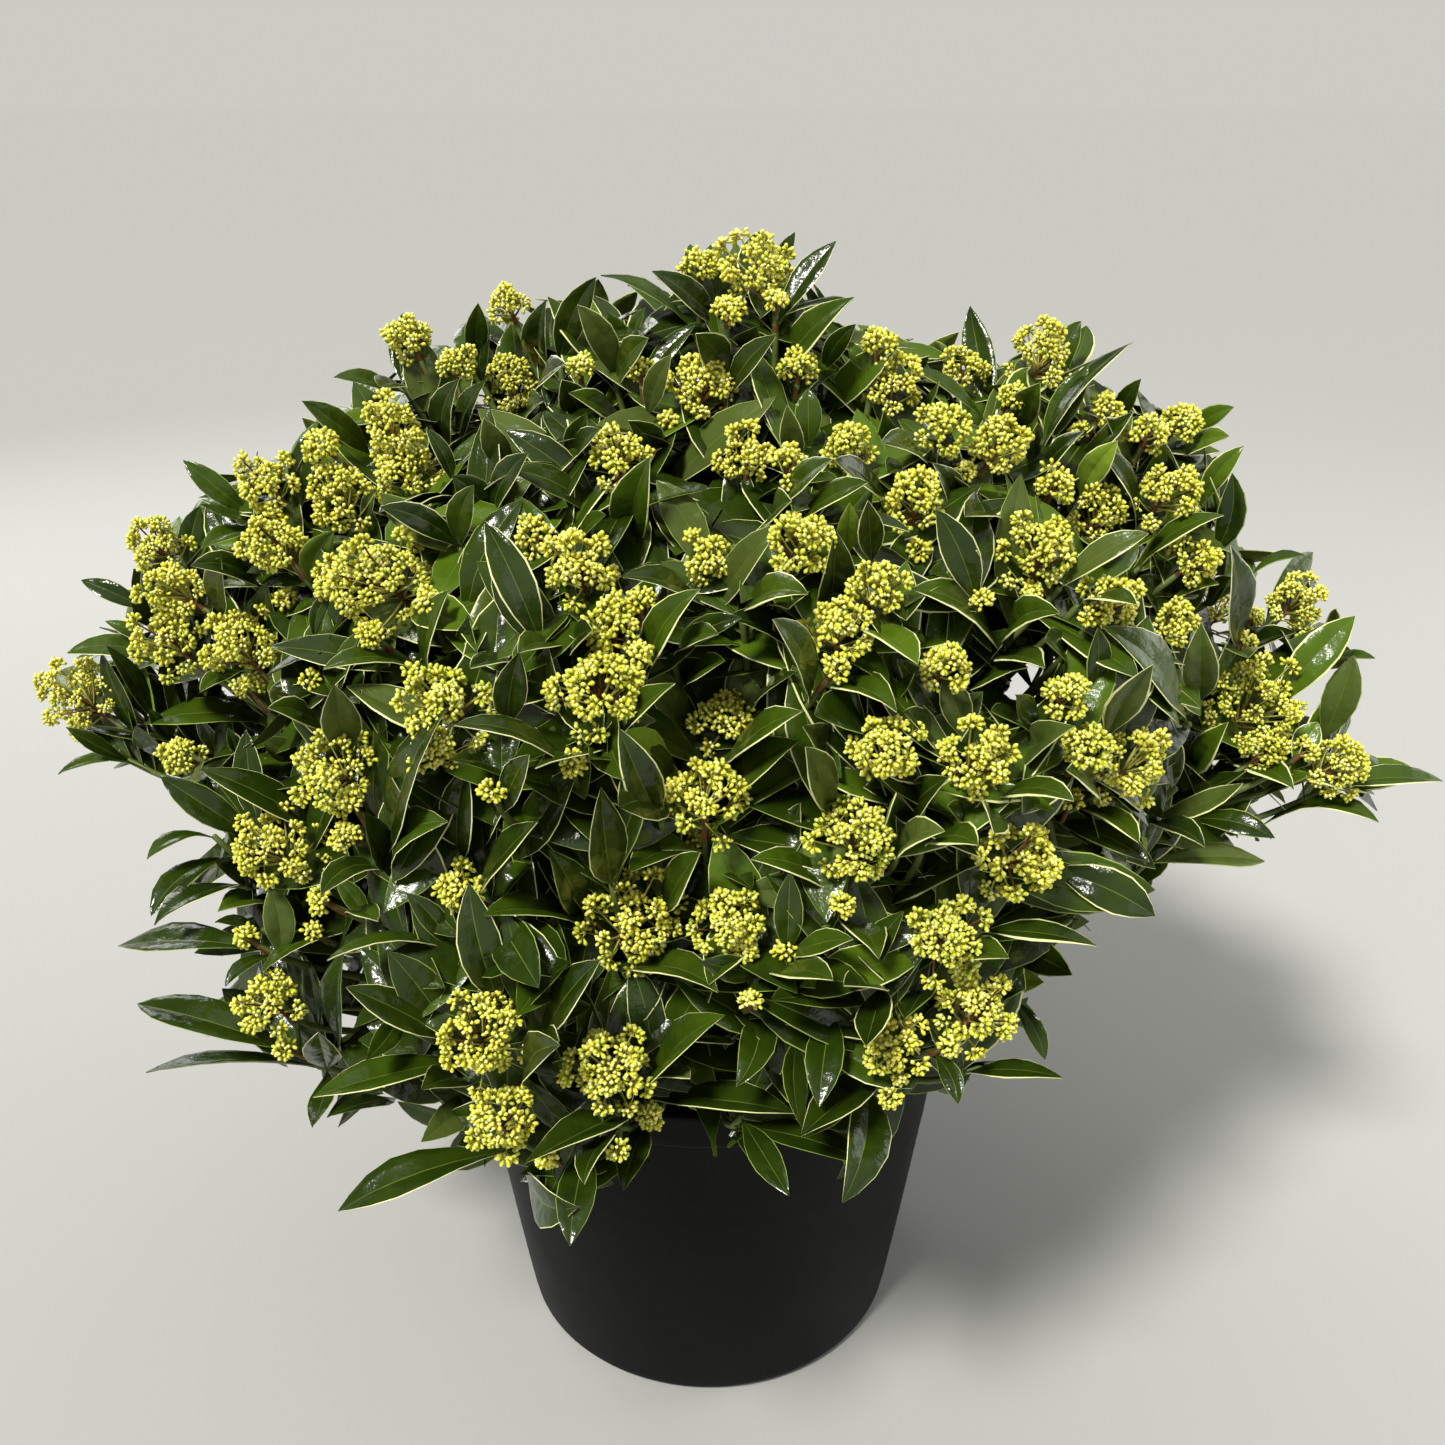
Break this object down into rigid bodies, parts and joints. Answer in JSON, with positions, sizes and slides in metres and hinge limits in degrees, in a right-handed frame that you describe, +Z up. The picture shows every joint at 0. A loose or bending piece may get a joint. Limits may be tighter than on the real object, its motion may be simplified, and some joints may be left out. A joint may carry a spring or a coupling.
{
  "type": "potted japanese skimmia",
  "caption": "Evergreen flowering shrub with a broad dense dome of variegated leaves and budded flower heads, standing in a round plastic pot.",
  "frame": {"origin": "centre of the pot's flat underside", "axes": "+Z up; the side seen in the picture faces -Y and the plant's right-hand side as seen there is +X"},
  "size_m": [0.6043, 0.4926, 0.5112],
  "materials": {
    "charcoal_plastic": "satin charcoal moulded plastic",
    "potting_compost": "matt crumbly compost",
    "brown_bark": "matt bark",
    "green_brown_bark": "matt young bark",
    "foliage_deep_green": "glossy leaves",
    "foliage_mid_green": "glossy leaves",
    "foliage_yellow_green": "leaves and budded flower heads"
  },
  "bodies": {
    "root": {"pot": "charcoal_plastic", "potting_soil": "potting_compost", "main_stem": "brown_bark", "bough_top": "green_brown_bark", "bough_upper_right": "green_brown_bark", "bough_upper_back_right": "green_brown_bark", "bough_upper_back_left": "green_brown_bark", "bough_upper_left": "green_brown_bark", "bough_upper_front_left": "green_brown_bark", "bough_upper_front_right": "green_brown_bark", "bough_right": "green_brown_bark", "bough_back_right": "green_brown_bark", "bough_back": "green_brown_bark", "bough_back_left": "green_brown_bark", "bough_left": "green_brown_bark", "bough_front_left": "green_brown_bark", "bough_front_lower_left": "green_brown_bark", "bough_front": "green_brown_bark", "bough_front_right": "green_brown_bark", "foliage_top": "foliage_deep_green", "foliage_upper_right": "foliage_mid_green", "foliage_upper_back_right": "foliage_yellow_green", "foliage_upper_back_left": "foliage_deep_green", "foliage_upper_left": "foliage_mid_green", "foliage_upper_front_left": "foliage_yellow_green", "foliage_upper_front_right": "foliage_deep_green", "foliage_right": "foliage_mid_green", "foliage_back_right": "foliage_yellow_green", "foliage_back": "foliage_deep_green", "foliage_back_left": "foliage_mid_green", "foliage_left": "foliage_yellow_green", "foliage_front_left": "foliage_deep_green", "foliage_front_lower_left": "foliage_mid_green", "foliage_front": "foliage_yellow_green", "foliage_front_right": "foliage_deep_green"}
  },
  "joints": []
}
